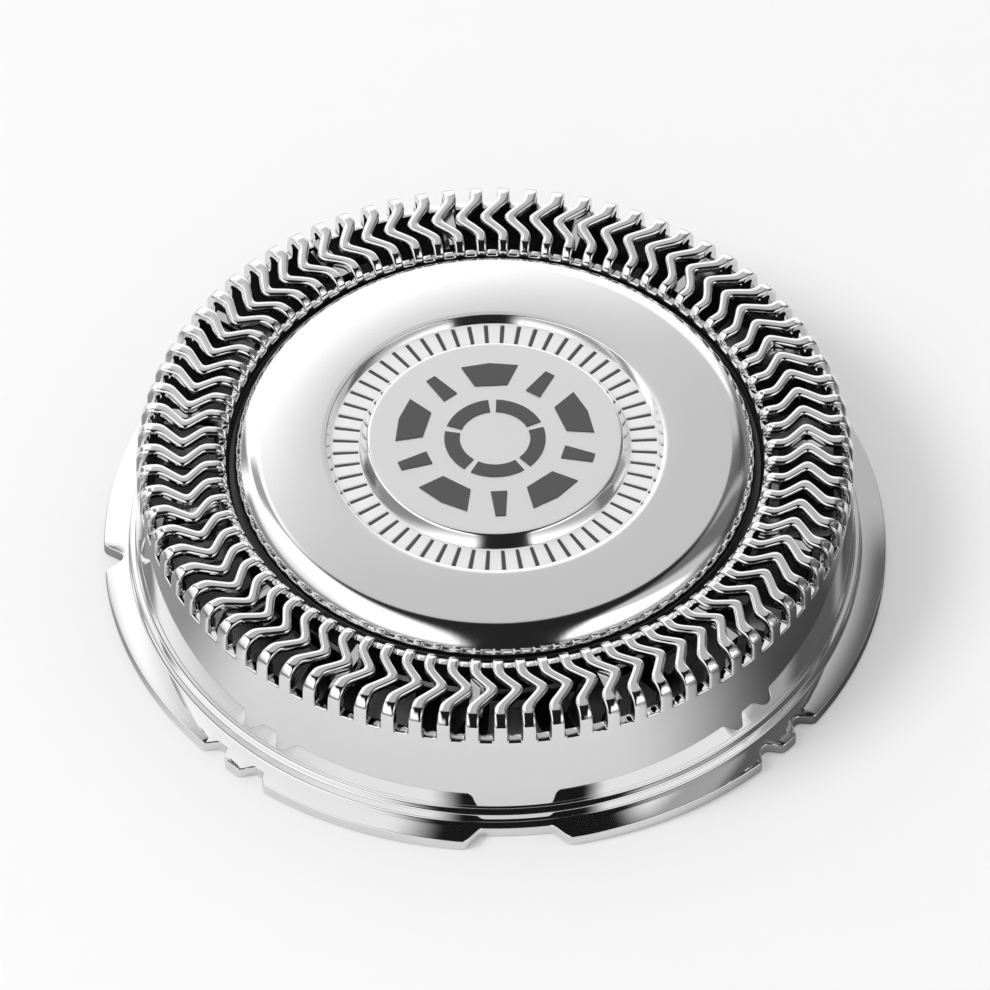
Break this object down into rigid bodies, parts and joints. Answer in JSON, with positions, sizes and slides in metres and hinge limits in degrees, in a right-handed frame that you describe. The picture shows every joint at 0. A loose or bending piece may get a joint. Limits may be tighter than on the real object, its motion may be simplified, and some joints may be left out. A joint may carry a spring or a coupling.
{
  "type": "rotary shaver head",
  "caption": "Round rotary shaver head: a flanged steel guard with a ring of chevron slots and a domed cover disc, over a bladed cutter that spins inside.",
  "frame": {"origin": "centre of the guard's flange, on the plane of its underside", "axes": "+Z along the cutter's axis, from the flange towards the slotted face; -Y through one of the two wide keys in the flange, -X through its single narrow notch"},
  "size_m": [0.0254, 0.0252, 0.0055],
  "materials": {
    "guard_steel": "mirror polished stainless steel",
    "cover_steel": "fine satin polished stainless steel",
    "print": "flat dark grey ink",
    "bearing_plastic": "moulded acetal",
    "cutter_steel": "ground hardened steel",
    "spring_steel": "thin spring steel",
    "hub_plastic": "moulded acetal"
  },
  "bodies": {
    "guard": {"guard_cap": "guard_steel", "cover_disc": "cover_steel", "badge_print": "print", "centre_bearing": "bearing_plastic"},
    "cutter": {"cutter_ring": "cutter_steel", "lifter_ring": "spring_steel", "cutter_hub": "hub_plastic"}
  },
  "joints": [
    {"name": "cutter_spin", "type": "hinge", "parent": "guard", "child": "cutter", "pos_m": [0, 0, 0.002], "axis": [0, 0, 1], "continuous": true}
  ]
}
